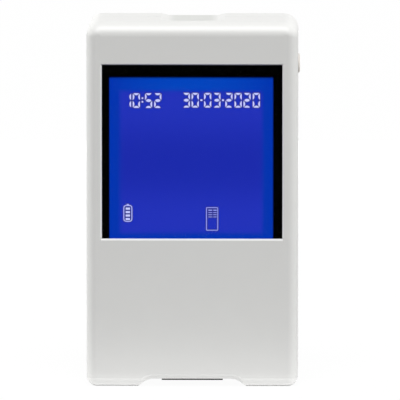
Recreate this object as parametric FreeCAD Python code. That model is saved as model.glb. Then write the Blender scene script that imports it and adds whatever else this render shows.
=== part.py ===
import FreeCAD, Part
import math
import os

Vector = FreeCAD.Vector

# A handheld coagulation meter, standing upright on its bottom face.
# All sizes are millimetres. X is to the right, Y from front to back, Z up.
# The origin is the middle of the bottom face.

# Case
case_width = 65.0
case_depth = 35.0
case_height = 112.7
wall = 2.0
top_corner_radius = 4.5
bottom_corner_radius = 3.2
top_edge_radius = 4.4
side_edge_radius = 3.0
front_shell_depth = 20.0
lip_height = 1.5
lip_thickness = 0.9
lip_clearance = 0.1
parting_groove = 0.25

# Window in the front face
window_side_border = 4.75
window_top_border = 13.2
window_bottom = 45.7
window_chamfer = 0.35

# Arch in the bottom edge
arch_mouth_width = 33.5
arch_height = 2.35
arch_mouth_radius = 1.2
arch_mouth_drop = 0.1
arch_roof_radius = 6.0
arch_slope = 38.0
arch_edge_at_mouth = 1.0
arch_edge_at_roof = 1.75

# Shallow recess across the top face
recess_floor_width = 15.0
recess_mouth_width = 20.0
recess_depth = 0.75
recess_from_front = 5.5
recess_ramp = 3.5
recess_lead_in = 0.01

# Display stack, from the window backwards
lens_thickness = 1.5
lens_margin = 1.5
lens_clearance = 0.15
rib_width = 1.0
mask_thickness = 0.1
mask_left = 2.25
mask_right = 2.85
mask_top = 4.0
bezel_gap = 0.05
bezel_lip = 0.25
bezel_wall = 0.8
bezel_side_margin = 0.6
bezel_clearance = 0.1
glass_thickness = 1.1
glass_overlap = 1.4
glass_below_window = 4.1
contact_ledge = 3.0
contact_strip_inset = 1.1
diffuser_thickness = 0.2
light_guide_thickness = 2.4
board_gap = 0.1
lamp_count = 4
lamp_size = (3.0, 1.6, 1.0)

# Main board
board_thickness = 1.6
board_side_gap = 2.5
board_bottom = 34.6
board_top_gap = 1.3
boss_radius = 2.5
board_boss_from_side = 10.0
board_boss_from_top = 5.1
board_hook_from_side = 3.0
board_hook_size = (4.0, 1.2, 1.5)
board_screw_radius = 0.8
board_screw_length = 5.5
board_screw_clearance = 0.3

# Case screws at the bottom and hooks at the top
case_boss_radius = 3.0
case_boss_from_side = 5.9
case_boss_from_bottom = 7.6
case_hook_from_side = 12.5
case_hook_width = 6.0
case_hook_reach = 4.5
case_hook_thickness = 1.2
case_hook_barb = 0.8
case_hook_gap = 0.2
case_screw_radius = 1.25
case_pilot_radius = 1.0
case_pilot_depth = 12.0
counterbore_radius = 2.7
rear_boss_wall = 1.4
case_screw_head = (2.3, 1.6)
case_screw_length = 13.0
case_screw_seat = 4.5
case_screw_clearance = 0.15
boss_gap = 0.1

# Side buttons and the switches that they press
button_from_top = 13.7
button_length = 10.0
button_width = 5.6
right_button_proud = 0.6
left_button_proud = 0.0
button_bevel = 0.4
button_clearance = 0.15
button_travel = 0.4
flange_margin = 0.9
flange_thickness = 0.8
flange_gap = 0.05
pusher_size = (2.6, 3.2)
switch_size = (3.5, 4.2, 6.6)
stem_size = (1.4, 2.4)
stem_above_board = 2.1
stem_overlap = 0.8
stem_clearance = 0.1

# Socket at the top edge of the board
socket_width = 7.7
socket_thickness = 3.9
socket_length = 9.2
socket_wall = 0.35
socket_below_floor = 0.6
socket_clearance = 0.25
socket_taper = 1.17
tongue_thickness = 1.0
tongue_width = 5.2
tongue_recess = 1.2
tongue_base_length = 2.0
tongue_base_gap = 0.9

# Chip guide behind the arch
guide_from_front = 4.0
guide_thickness = 5.0
collar_width = 18.8
collar_drop = 0.7
collar_clearance = 0.15
slot_width = 16.4
slot_thickness = 2.0
slot_lead = 0.4
slot_lead_length = 2.0
guide_half_width = 11.0
guide_rib_margin = 2.0
guide_top = 33.4
slot_top = 31.5
sight_size = (7.0, 9.0)
reader_height = 22.0
ear_half_span = 15.0
ear_radius = 2.6
ear_thickness = 1.5
ear_gap = 0.1

# Optical reader behind the guide
block_half_width = 8.5
block_height = 20.0
reader_to_bay = 1.8
bore_radius = 3.6
reader_lens_radius = 3.5
reader_lens_thickness = 2.4
reader_lens_bulge = 0.6
reader_lens_forward = 1.0
sensor_board_thickness = 1.2
sensor_size = (7.0, 1.1, 7.0)
sensor_clearance = 0.3
lamp_board_size = (9.0, 0.7, 12.0)
chip_lamp_size = (2.0, 0.8, 1.4)
reader_screw_radius = 0.8
reader_hole_clearance = 0.3
reader_screw_floor = 0.6
small_screw_head = (1.9, 1.3)
cross_reach_share = 0.62
cross_arm_share = 0.22
cross_floor_share = 0.45

# Ribbon cable from the reader to the main board
ribbon_width = 10.0
ribbon_thickness = 0.3
ribbon_bend = 1.6
ribbon_rise = 2.5
ribbon_end_above_board = 10.2
ribbon_socket_size = (13.0, 1.4, 3.6)
ribbon_slot_gap = 0.05

# Battery, its bay and its cover
battery_width = 34.0
battery_height = 52.0
battery_thickness = 10.0
battery_corner = 3.0
battery_clearance = 0.3
bay_wall = 1.2
bay_from_top = 27.1
cover_beside_bay = 4.2
cover_below_bay = 4.4
cover_above_bay = 6.0
cover_thickness = 1.8
cover_corner = 2.5
cover_gap = 0.2
cover_seat = 1.5
tab_centre = 11.0
tab_width = 6.0
tab_reach = 1.5
tab_thickness = 0.9
tab_clearance = 0.15
latch_width = 12.0
latch_length = 9.0
latch_slit = 0.8
latch_grooves = 4
latch_groove_pitch = 1.4
latch_groove_width = 0.7
latch_groove_depth = 0.35
latch_groove_margin = 1.4
latch_groove_start = 2.25
finger_dish_radius = 14.0
finger_dish_depth = 1.2
finger_dish_width = 12.0
contact_count = 3
contact_pitch = 4.0
contact_width = 1.6
contact_thickness = 0.3
contact_window_depth = 4.0
contact_foot = 1.7
contact_tip = 1.0
contact_tip_flat = 0.7
contact_block_size = (15.0, 4.4)
contact_block_beyond = 2.5
contact_block_gap = 0.3

# Parts on the back of the main board; a place is (x, distance below the
# board's top)
processor_size = (12.0, 1.2, 12.0)
processor_place = (-6.0, 39.4)
memory_size = (6.0, 1.0, 8.0)
memory_places = ((6.5, 44.4), (6.5, 34.4))
power_chip_size = (5.0, 1.0, 5.0)
power_chip_place = (12.0, 14.4)
crystal_size = (3.4, 2.6, 8.0)
crystal_corner = 1.0
crystal_place = (15.0, 39.4)
cell_radius = 6.25
cell_thickness = 2.0
holder_wall = 0.8
holder_height = 2.2
holder_clearance = 0.1
sounder_radius = 6.0
sounder_height = 3.2
sounder_place = (-16.0, 57.4)
cell_place = (17.0, 54.4)

# Allowances: how far a cut runs past a surface, how far joined shapes run
# into each other, and how near counts as touching
past = 1.0
bite = 0.1
touching = 0.001

# Places worked out from the sizes above
front = -case_depth / 2
back = case_depth / 2
side = case_width / 2
inner_front = front + wall
inner_back = back - wall
inner_side = side - wall
inner_top = case_height - wall
parting = front + front_shell_depth
window_top = case_height - window_top_border
window_side = side - window_side_border

lens_back = inner_front + lens_thickness
mask_back = lens_back + mask_thickness
bezel_front = mask_back + bezel_gap
glass_front = bezel_front + bezel_lip
glass_middle = glass_front + glass_thickness
glass_back = glass_middle + glass_thickness
diffuser_back = glass_back + diffuser_thickness
light_guide_back = diffuser_back + light_guide_thickness
board_front = light_guide_back + board_gap
board_back = board_front + board_thickness
board_half_width = inner_side - board_side_gap
board_top = inner_top - board_top_gap
board_boss = (board_half_width - board_boss_from_side, board_top - board_boss_from_top)
board_hook_x = board_half_width - board_hook_from_side
case_boss = (side - case_boss_from_side, case_boss_from_bottom)
case_hook_x = side - case_hook_from_side

view_left = -window_side + mask_left
view_right = window_side - mask_right
view_top = window_top - mask_top
glass_left = view_left - glass_overlap
glass_right = view_right + glass_overlap
glass_top = view_top + glass_overlap
glass_bottom = window_bottom - glass_below_window
rear_glass_bottom = glass_bottom + contact_ledge

guide_front = front + guide_from_front
guide_back = guide_front + guide_thickness
guide_middle = (guide_front + guide_back) / 2

cover_inner = back - cover_thickness
seat_face = cover_inner - ear_gap
battery_back = cover_inner - battery_clearance
battery_front = battery_back - battery_thickness
battery_middle = battery_back - battery_thickness / 2
bay_floor = battery_front - battery_clearance
bay_half_width = battery_width / 2 + battery_clearance
bay_top = case_height - bay_from_top
bay_bottom = bay_top - battery_height - 2 * battery_clearance
cover_width = 2 * (bay_half_width + cover_beside_bay)
cover_bottom = bay_bottom - cover_below_bay
cover_top = bay_top + cover_above_bay

block_front = guide_back + ear_gap
sensor_board_back = bay_floor - bay_wall - reader_to_bay
sensor_board_front = sensor_board_back - sensor_board_thickness
block_back = sensor_board_front - ear_gap

stem_y = board_back + stem_above_board
button_height = case_height - button_from_top
flange_outer = inner_side - flange_gap
flange_inner = flange_outer - flange_thickness
socket_mouth = case_height - recess_depth - socket_below_floor
socket_bottom = socket_mouth - socket_length

contact_foot_top = bay_top + bay_wall + contact_block_gap

lower_ribbon_y = sensor_board_back + ribbon_socket_size[1] / 2
lower_ribbon_z = reader_height + block_height / 2 - ribbon_socket_size[2]
upper_ribbon_y = board_back + ribbon_socket_size[1] / 2
upper_ribbon_z = board_bottom + ribbon_end_above_board


# Shapes used by several pieces
def block(x_span, y_span, z_span):
    """A box between the two ends of each span."""
    low = Vector(x_span[0], y_span[0], z_span[0])
    return Part.makeBox(x_span[1] - x_span[0], y_span[1] - y_span[0], z_span[1] - z_span[0], low)


def centred_block(size, centre):
    """A box of the given size about its centre."""
    spans = [(c - s / 2, c + s / 2) for s, c in zip(size, centre)]
    return block(*spans)


def rod(radius, y_span, x, z):
    """A round bar from front to back."""
    start = Vector(x, y_span[0], z)
    return Part.makeCylinder(radius, y_span[1] - y_span[0], start, Vector(0, 1, 0))


def side_rod(radius, x_span, y, z):
    """A round bar across the case."""
    start = Vector(x_span[0], y, z)
    return Part.makeCylinder(radius, x_span[1] - x_span[0], start, Vector(1, 0, 0))


def corner_arc(centre_x, centre_z, radius, start_angle):
    """A quarter circle in the XZ plane, anticlockwise from start_angle."""
    points = []
    for step in range(3):
        angle = math.radians(start_angle + 45 * step)
        x = centre_x + radius * math.cos(angle)
        z = centre_z + radius * math.sin(angle)
        points.append(Vector(x, 0, z))
    return Part.Arc(*points)


def rounded_plate(x_span, z_span, y_span, bottom_radius, top_radius):
    """A plate across the case, with rounded lower and upper corners."""
    left, right = x_span
    low, high = z_span
    centres = [
        (right - bottom_radius, low + bottom_radius, bottom_radius, -90),
        (right - top_radius, high - top_radius, top_radius, 0),
        (left + top_radius, high - top_radius, top_radius, 90),
        (left + bottom_radius, low + bottom_radius, bottom_radius, 180),
    ]
    arcs = [corner_arc(*centre) for centre in centres]
    edges = []
    for index, arc in enumerate(arcs):
        following = arcs[(index + 1) % len(arcs)]
        edges.append(arc.toShape())
        edges.append(Part.LineSegment(arc.EndPoint, following.StartPoint).toShape())
    face = Part.Face(Part.Wire(edges))
    face.translate(Vector(0, y_span[0], 0))
    return face.extrude(Vector(0, y_span[1] - y_span[0], 0))


def button_form(x_span, grow):
    """The side button's outline, round at both ends, between two places across."""
    radius = button_width / 2 + grow
    half = (button_length - button_width) / 2
    ends = [side_rod(radius, x_span, stem_y + sign * half, button_height) for sign in (-1, 1)]
    height = (button_height - radius, button_height + radius)
    middle = block(x_span, (stem_y - half, stem_y + half), height)
    return middle.fuse(ends).removeSplitter()


def trimmed_plate(x_span, z_span, y_span, bottom_trim, top_trim):
    """A plate across the case whose corners are cut off at 45 degrees."""
    left, right = x_span
    low, high = z_span
    points = [
        (left + bottom_trim, low),
        (right - bottom_trim, low),
        (right, low + bottom_trim),
        (right, high - top_trim),
        (right - top_trim, high),
        (left + top_trim, high),
        (left, high - top_trim),
        (left, low + bottom_trim),
    ]
    return flat_outline(points, y_span)


def corner_trim(radius):
    """The 45 degree cut that stands for a rounded inner corner."""
    return radius * (2 - math.sqrt(2))


def mirrored(shape):
    """The same shape on the other side of the case."""
    return shape.mirror(Vector(0, 0, 0), Vector(1, 0, 0))


def flat_outline(points, y_span):
    """A straight-sided plate from points of the XZ plane."""
    wire = Part.makePolygon([Vector(x, y_span[0], z) for x, z in points + points[:1]])
    return Part.Face(wire).extrude(Vector(0, y_span[1] - y_span[0], 0))


def side_outline(points, x_span):
    """A straight-sided bar across the case from points of the YZ plane."""
    wire = Part.makePolygon([Vector(x_span[0], y, z) for y, z in points + points[:1]])
    return Part.Face(wire).extrude(Vector(x_span[1] - x_span[0], 0, 0))


def both_sides(x, z):
    """The same place on the left and on the right of the case."""
    return [(-x, z), (x, z)]


case_screw_places = both_sides(*case_boss)
board_screw_places = both_sides(*board_boss)
reader_screw_places = both_sides(ear_half_span, reader_height)


# Case form
def rounded_edges(shape, radius_at, chosen):
    """The shape with its chosen edges rounded, each end by the radius there."""
    document = FreeCAD.newDocument("rounding")
    base = document.addObject("Part::Feature", "base")
    base.Shape = shape
    rounded = document.addObject("Part::Fillet", "rounded")
    rounded.Base = base
    rounded.Edges = [
        (number, *[radius_at(edge.valueAt(end)) for end in edge.ParameterRange])
        for number, edge in enumerate(shape.Edges, 1)
        if chosen(edge.BoundBox)
    ]
    document.recompute()
    result = rounded.Shape.copy()
    FreeCAD.closeDocument(document.Name)
    return result


def rounded_case():
    """The outside of the whole case, with every outer edge rounded."""
    x_span = (-side, side)
    plain = rounded_plate(x_span, (0, case_height), (front, back), bottom_corner_radius, top_corner_radius)
    return rounded_edges(plain, case_edge_radius_at, lambda box: box.YLength < touching)


def case_edge_radius_at(point):
    """The round-over is larger along the front's top edge than elsewhere."""
    at_top = point.z > case_height - touching
    return top_edge_radius if at_top and point.y < 0 else side_edge_radius


def case_between(y_span):
    """The outside of the case between two depths."""
    slab = block((-side - past, side + past), y_span, (-past, case_height + past))
    return rounded_case().common(slab)


def case_cavity(y_span):
    """The room inside the walls."""
    return inner_plate(0, y_span)


def inner_plate(grow, y_span):
    """The outline of the room inside the walls, grown into them."""
    return trimmed_plate(
        (-inner_side - grow, inner_side + grow),
        (wall - grow, inner_top + grow),
        y_span,
        corner_trim(bottom_corner_radius - wall + grow),
        corner_trim(top_corner_radius - wall + grow),
    )


def arch_side(sign):
    """One S curve of the arch: its edges, and its ends at the mouth and the roof."""
    slope = math.radians(arch_slope)
    full_rise = arch_height + arch_mouth_drop
    rise = full_rise - (arch_mouth_radius + arch_roof_radius) * (1 - math.cos(slope))
    half_mouth = arch_mouth_width / 2 + arch_mouth_drop / math.tan(slope)
    start_x = half_mouth + arch_mouth_radius * math.tan(slope / 2)

    def on_mouth(angle):
        x = start_x - arch_mouth_radius * math.sin(angle)
        return Vector(sign * x, 0, arch_mouth_radius * (1 - math.cos(angle)) - arch_mouth_drop)

    low = on_mouth(slope)
    high = low + Vector(-sign * rise / math.tan(slope), 0, rise)
    roof_x = abs(high.x) - arch_roof_radius * math.sin(slope)

    def on_roof(angle):
        x = roof_x + arch_roof_radius * math.sin(angle)
        return Vector(sign * x, 0, arch_height - arch_roof_radius * (1 - math.cos(angle)))

    edges = [
        Part.Arc(on_mouth(0), on_mouth(slope / 2), low).toShape(),
        Part.LineSegment(low, high).toShape(),
        Part.Arc(high, on_roof(slope / 2), on_roof(0)).toShape(),
    ]
    return edges, on_mouth(0), on_roof(0)


def plain_arch(y_span):
    """The arch as a cutter between two depths: two S curves up to a level roof."""
    left, left_mouth, left_roof = arch_side(-1)
    right, right_mouth, right_roof = arch_side(1)
    reach = side + past
    low = -wall
    corners = [
        left_mouth,
        Vector(-reach, 0, left_mouth.z),
        Vector(-reach, 0, low),
        Vector(reach, 0, low),
        Vector(reach, 0, right_mouth.z),
        right_mouth,
    ]
    closing = [Part.LineSegment(a, b).toShape() for a, b in zip(corners, corners[1:])]
    roof = Part.LineSegment(left_roof, right_roof).toShape()
    face = Part.Face(Part.Wire(Part.__sortEdges__(left + right + closing + [roof])))
    face.translate(Vector(0, y_span[0], 0))
    return face.extrude(Vector(0, y_span[1] - y_span[0], 0))


def flared_arch(y_end):
    """The arch from the front face to y_end, flared where it leaves the face."""
    reach = side + past
    plate_top = arch_height + arch_edge_at_roof + past
    plate = block((-reach, reach), (front - past, front), (-wall, plate_top))
    cutter = plain_arch((front, y_end)).fuse(plate).removeSplitter()

    def on_face(box):
        inside = box.ZMin > -arch_mouth_drop - touching and box.ZMax < arch_height + touching
        return inside and abs(box.YMin - front) < touching and box.YLength < touching

    return rounded_edges(cutter, arch_edge_radius_at, on_face)


def arch_edge_radius_at(point):
    """The flare grows from the arch's mouth to its roof."""
    share = (point.z + arch_mouth_drop) / (arch_height + arch_mouth_drop)
    return arch_edge_at_mouth + (arch_edge_at_roof - arch_edge_at_mouth) * share


def arch_room(y_span):
    """The wall over the arch, which keeps its full thickness."""
    half = arch_mouth_width / 2 + wall
    return block((-half, half), y_span, (0, arch_height + wall))


def recess_section(y, depth):
    """The trapezoid of the top recess at one place along it."""
    flare = (recess_mouth_width - recess_floor_width) / 2 / recess_depth
    floor = recess_floor_width / 2
    mouth = floor + flare * (depth + past)
    points = [
        Vector(-floor, y, case_height - depth),
        Vector(floor, y, case_height - depth),
        Vector(mouth, y, case_height + past),
        Vector(-mouth, y, case_height + past),
    ]
    return Part.makePolygon(points + points[:1])


def top_recess():
    """The shallow channel that runs back across the top face."""
    start = front + recess_from_front
    level = start + recess_ramp
    shallow = recess_section(start, recess_lead_in)
    deep = recess_section(level, recess_depth)
    end = recess_section(back + past, recess_depth)
    ramp = Part.makeLoft([shallow, deep], True, True)
    return ramp.fuse(Part.makeLoft([deep, end], True, True))


def recess_room():
    """The wall under the top recess, which keeps its full thickness."""
    start = front + recess_from_front
    half = recess_mouth_width / 2 + wall
    return block((-half, half), (start, inner_back), (inner_top - recess_depth, inner_top))


# Front shell
def window_opening():
    """The square opening in the front wall, with its eased outer edge."""
    depth = (front - past, inner_front + past)
    through = block((-window_side, window_side), depth, (window_bottom, window_top))
    outer = Part.makePolygon(window_ring(front - touching, window_chamfer))
    inner = Part.makePolygon(window_ring(front + window_chamfer, 0))
    return through.fuse(Part.makeLoft([outer, inner], True, True))


def window_ring(y, grow):
    """The window's outline at one depth."""
    x = window_side + grow
    low = window_bottom - grow
    high = window_top + grow
    corners = [(-x, low), (x, low), (x, high), (-x, high)]
    return [Vector(cx, y, cz) for cx, cz in corners + corners[:1]]


def lens_rib():
    """The rib round the window that holds the clear plate in place."""
    inner = lens_margin + lens_clearance
    outer = inner + rib_width
    depth = (inner_front, lens_back)
    low = window_bottom
    high = window_top
    x = window_side
    frame = block((-x - outer, x + outer), depth, (low - outer, high + outer))
    hole = block((-x - inner, x + inner), depth, (low - inner, high + inner))
    return frame.cut(hole).common(case_cavity(depth))


def front_bosses():
    """The screw posts that stand on the inside of the front wall."""
    reader_post_end = guide_back - ear_thickness - ear_gap
    posts = [rod(case_boss_radius, (inner_front, parting - boss_gap), x, z) for x, z in case_screw_places]
    posts += [rod(boss_radius, (inner_front, board_front), x, z) for x, z in board_screw_places]
    posts += [rod(ear_radius, (inner_front, reader_post_end), x, z) for x, z in reader_screw_places]
    return posts


def front_pilots():
    """The screw holes in those posts."""
    case_span = (parting - case_pilot_depth, parting + past)
    board_span = (board_back - board_screw_length - board_screw_clearance, board_front + past)
    reader_span = (inner_front + reader_screw_floor, guide_back)
    holes = [rod(case_pilot_radius, case_span, x, z) for x, z in case_screw_places]
    holes += [rod(board_screw_radius, board_span, x, z) for x, z in board_screw_places]
    holes += [rod(reader_screw_radius, reader_span, x, z) for x, z in reader_screw_places]
    return holes


def board_hooks():
    """The two ledges that hold the lower edge of the main board."""
    width, wall_height, lip = board_hook_size
    hooks = []
    for x in (-board_hook_x, board_hook_x):
        x_span = (x - width / 2, x + width / 2)
        low = board_bottom - board_gap - wall_height
        behind = board_back + board_gap
        hooks.append(block(x_span, (inner_front, board_front), (low, board_bottom + lip)))
        hooks.append(block(x_span, (inner_front, behind + lip), (low, board_bottom - board_gap)))
        hooks.append(block(x_span, (behind, behind + lip), (low, board_bottom + lip)))
    return hooks


def hook_pockets():
    """The blind pockets in the top wall that the rear shell's hooks catch in."""
    grow = case_hook_gap
    tip = parting - case_hook_reach
    half = case_hook_width / 2 + grow
    height = (inner_top - case_hook_gap, inner_top + case_hook_barb - case_hook_gap + grow)
    depth = (tip - grow, tip + 2 * case_hook_barb + grow)
    return [block((x - half, x + half), depth, height) for x in (-case_hook_x, case_hook_x)]


def guide_ribs():
    """Two ribs that the front of the chip guide bears on."""
    depth = (inner_front, guide_front)
    height = (arch_height + wall + guide_rib_margin, guide_top - guide_rib_margin)
    rib = block((guide_half_width - rib_width, guide_half_width), depth, height)
    return [rib, mirrored(rib)]


def button_holes():
    """The two openings for the side buttons."""
    hole = button_form((inner_side - past, side + past), button_clearance)
    return [hole, mirrored(hole)]


def collar_hole():
    """The opening in the arch's roof for the collar of the chip guide."""
    half = collar_width / 2 + collar_clearance
    depth = (guide_front - collar_clearance, guide_back + collar_clearance)
    return block((-half, half), depth, (arch_height - past, arch_height + wall + past))


def socket_hole():
    """The opening for the socket, in the floor of the top recess."""
    half = socket_width / 2 + socket_clearance
    depth = (board_back - socket_clearance, board_back + socket_thickness + socket_clearance)
    height = (inner_top - recess_depth - past, case_height + past)
    return block((-half, half), depth, height)


def front_shell():
    """The front half of the case."""
    over_arch = arch_room((front, parting + past))
    cavity = case_cavity((inner_front, parting + past)).cut(recess_room()).cut(over_arch)
    shell = case_between((front - past, parting)).cut(cavity)
    shell = shell.cut(top_recess()).cut(flared_arch(parting + past))
    shell = shell.fuse([lens_rib()] + front_bosses() + guide_ribs() + board_hooks())
    lip_span = (parting - lip_height - lip_clearance, parting + past)
    lip_room = inner_plate(lip_thickness + lip_clearance, lip_span)
    lip_room = lip_room.cut(over_arch).cut(recess_room())
    shell = shell.cut(lip_room.cut(Part.makeCompound(front_bosses())))
    cuts = [window_opening(), collar_hole(), socket_hole()]
    cuts += button_holes() + front_pilots() + hook_pockets()
    return shell.cut(cuts).removeSplitter()


# Rear shell
def bay_tub():
    """The walls of the battery bay and the seat of its cover."""
    half = bay_half_width + bay_wall
    height = (bay_bottom - bay_wall, bay_top + bay_wall)
    tub = block((-half, half), (bay_floor - bay_wall, inner_back), height)
    x = cover_width / 2 + cover_gap + bay_wall
    low = cover_bottom - cover_gap - tab_reach - bay_wall
    high = cover_top + cover_gap + bay_wall
    seat = block((-x, x), (seat_face - cover_seat, inner_back), (low, high))
    return tub.fuse(seat)


def bay_room():
    """The room for the battery, open to the back."""
    return block((-bay_half_width, bay_half_width), (bay_floor, back + past), (bay_bottom, bay_top))


def cover_room():
    """The shallow pocket that the battery cover lies in."""
    return rounded_plate(
        (-cover_width / 2 - cover_gap, cover_width / 2 + cover_gap),
        (cover_bottom - cover_gap, cover_top + cover_gap),
        (seat_face, back + past),
        cover_corner + cover_gap,
        cover_corner + cover_gap,
    )


def tab_rooms():
    """The two sockets that the cover's tabs turn in."""
    half = tab_width / 2 + tab_clearance
    swing = math.hypot(cover_thickness + tab_thickness + 2 * ear_gap, tab_reach) + tab_clearance
    depth = (back - swing, cover_inner + tab_clearance)
    height = (cover_bottom - tab_reach - tab_clearance, cover_bottom + swing)
    room = block((tab_centre - half, tab_centre + half), depth, height)
    return [room, mirrored(room)]


def contact_window():
    """The opening in the upper end of the bay for the contacts."""
    half = contact_pitch * (contact_count - 1) / 2 + contact_width
    reach = contact_window_depth / 2
    depth = (battery_middle - reach, battery_middle + reach)
    return block((-half, half), depth, (bay_top - past, bay_top + bay_wall + past))


def finger_dish():
    """The dished hollow above the latch, for a fingertip."""
    centre_y = back + finger_dish_radius - finger_dish_depth
    half = finger_dish_width / 2
    start = Vector(-half, centre_y, cover_top)
    return Part.makeCylinder(finger_dish_radius, 2 * half, start, Vector(1, 0, 0))


def rear_bosses():
    """The posts that the case screws pass down."""
    radius = counterbore_radius + rear_boss_wall
    return [rod(radius, (parting, inner_back), x, z) for x, z in case_screw_places]


def rear_screw_holes():
    """A clearance hole and a counterbore at each case screw."""
    holes = []
    for x, z in case_screw_places:
        holes.append(rod(case_screw_radius + case_screw_clearance, (parting - past, back + past), x, z))
        holes.append(rod(counterbore_radius, (parting + case_screw_seat, back + past), x, z))
    return holes


def rear_lip():
    """The tongue on the rim that enters the front shell."""
    depth = (parting - lip_height, parting + wall)
    lip = inner_plate(lip_thickness, depth).cut(case_cavity(depth))
    half_arch = arch_mouth_width / 2 + wall + past
    half_recess = recess_mouth_width / 2 + wall + past
    at_arch = block((-half_arch, half_arch), (front, back), (-past, wall + arch_height + past))
    at_recess = block((-half_recess, half_recess), (front, back), (inner_top - past, case_height))
    return lip.cut([at_arch, at_recess])


def case_hooks():
    """The two hooks that hold the top of the rear shell to the front shell."""
    tip = parting - case_hook_reach
    top = inner_top - case_hook_gap
    low = top - case_hook_thickness
    crest = top + case_hook_barb - case_hook_gap
    root_end = parting + 2 * wall
    x_span = (case_hook_x - case_hook_width / 2, case_hook_x + case_hook_width / 2)
    arm = block(x_span, (tip, root_end), (low, top))
    root = block(x_span, (parting + wall, root_end), (low, inner_top + bite))
    barb_points = [
        (tip, top - bite),
        (tip + 2 * case_hook_barb, top - bite),
        (tip + 2 * case_hook_barb, crest),
        (tip + case_hook_barb, crest),
    ]
    hook = arm.fuse([root, side_outline(barb_points, x_span)])
    return [hook, mirrored(hook)]


def rim_groove():
    """The fine groove that shows along the joint of the two shells."""
    g = parting_groove
    depth = (parting, parting + g)
    whole = block((-side - past, side + past), depth, (-past, case_height + past))
    kept = rounded_plate(
        (-side + g, side - g),
        (g, case_height - g),
        depth,
        bottom_corner_radius - g,
        top_corner_radius - g,
    )
    return whole.cut(kept)


def rear_shell():
    """The rear half of the case, with the battery bay."""
    over_arch = arch_room((parting - past, back))
    cavity = case_cavity((parting - past, inner_back)).cut(recess_room()).cut(over_arch)
    shell = case_between((parting, back + past)).cut(cavity)
    shell = shell.cut(top_recess()).cut(plain_arch((parting - past, back + past)))
    inside = case_cavity((parting, inner_back + wall / 2))
    posts = [post.common(inside) for post in rear_bosses()]
    shell = shell.fuse([bay_tub(), rear_lip()] + posts + case_hooks())
    cuts = [bay_room(), cover_room(), contact_window(), finger_dish(), rim_groove()]
    cuts += tab_rooms() + rear_screw_holes()
    return shell.cut(cuts).removeSplitter()


# Window and display
def display_window():
    """The clear plate, cemented behind the opening."""
    x = window_side + lens_margin
    height = (window_bottom - lens_margin, window_top + lens_margin)
    return block((-x, x), (inner_front, lens_back), height)


def window_mask():
    """The black border printed on the back of the plate: top and sides only."""
    x = window_side + lens_margin
    low = window_bottom - lens_margin
    depth = (lens_back, mask_back)
    sheet = block((-x, x), depth, (low, window_top + lens_margin))
    return sheet.cut(block((view_left, view_right), depth, (low - past, view_top)))


def display_bezel():
    """The frame that holds the display stack on the board."""
    outer = bezel_clearance + bezel_wall
    frame = round_glass(outer, (bezel_front, board_front))
    stack = round_glass(bezel_clearance, (glass_front, board_front + past))
    view = block(
        (view_left - bezel_side_margin, view_right + bezel_side_margin),
        (bezel_front - past, board_front + past),
        (glass_bottom + bezel_side_margin, view_top + bezel_side_margin),
    )
    return frame.cut([stack, view])


def round_glass(grow, depth):
    """A block that stands out all round the display glass."""
    x_span = (glass_left - grow, glass_right + grow)
    return block(x_span, depth, (glass_bottom - grow, glass_top + grow))


def display_front_glass():
    """The larger glass, whose lower edge carries the contacts."""
    return block((glass_left, glass_right), (glass_front, glass_middle), (glass_bottom, glass_top))


def display_rear_glass():
    """The smaller glass behind it."""
    return block((glass_left, glass_right), (glass_middle, glass_back), (rear_glass_bottom, glass_top))


def diffuser_sheet():
    """The white film between the glass and the light guide."""
    inset = bezel_clearance
    x_span = (glass_left + inset, glass_right - inset)
    return block(x_span, (glass_back, diffuser_back), (rear_glass_bottom, glass_top - inset))


def lamp_places():
    """Where the display lamps sit along the light guide's upper edge."""
    pitch = (glass_right - glass_left) / lamp_count
    return [glass_left + pitch * (index + 0.5) for index in range(lamp_count)]


def light_guide():
    """The clear plate that spreads the lamps' light, notched for them."""
    plate = block(
        (glass_left + bezel_clearance, glass_right - bezel_clearance),
        (diffuser_back, light_guide_back),
        (rear_glass_bottom, glass_top - bezel_clearance),
    )
    width, depth, height = lamp_size
    gap = bezel_clearance
    for x in lamp_places():
        notch = block(
            (x - width / 2 - gap, x + width / 2 + gap),
            (board_front - depth - gap, board_front),
            (glass_top - height - 2 * gap, glass_top + past),
        )
        plate = plate.cut(notch)
    return plate


def display_lamps():
    """The lamps on the board that light the display from its upper edge."""
    y = board_front - lamp_size[1] / 2
    z = glass_top - lamp_size[2] / 2 - bezel_clearance
    return Part.makeCompound([centred_block(lamp_size, (x, y, z)) for x in lamp_places()])


def contact_strip():
    """The rubber strip that joins the glass to the board."""
    inset = contact_strip_inset
    return block(
        (glass_left + inset, glass_right - inset),
        (glass_middle, board_front),
        (glass_bottom + bezel_clearance, rear_glass_bottom - bezel_clearance),
    )


# Main board and what it carries
def main_board():
    """The board behind the display."""
    depth = (board_front, board_back)
    board = block((-board_half_width, board_half_width), depth, (board_bottom, board_top))
    radius = board_screw_radius + board_screw_clearance
    return board.cut([rod(radius, depth, x, z) for x, z in board_screw_places])


def on_board(size, place):
    """A part of the given size on the back of the main board."""
    x, below_top = place
    return centred_block(size, (x, board_back + size[1] / 2, board_top - below_top))


def round_on_board(radius, heights, place):
    """A round bar between two heights above the back of the main board."""
    x, below_top = place
    y_span = (board_back + heights[0], board_back + heights[1])
    return rod(radius, y_span, x, board_top - below_top)


def processor_chip():
    """The main processor."""
    return on_board(processor_size, processor_place)


def memory_chips():
    """Two memory chips beside the processor."""
    return Part.makeCompound([on_board(memory_size, place) for place in memory_places])


def power_chip():
    """The chip that charges the battery, near the socket."""
    return on_board(power_chip_size, power_chip_place)


def clock_crystal():
    """The can of the clock crystal."""
    can = on_board(crystal_size, crystal_place)
    long_edges = [edge for edge in can.Edges if edge.BoundBox.ZLength > crystal_size[2] / 2]
    return can.makeFillet(crystal_corner, long_edges)


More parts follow.
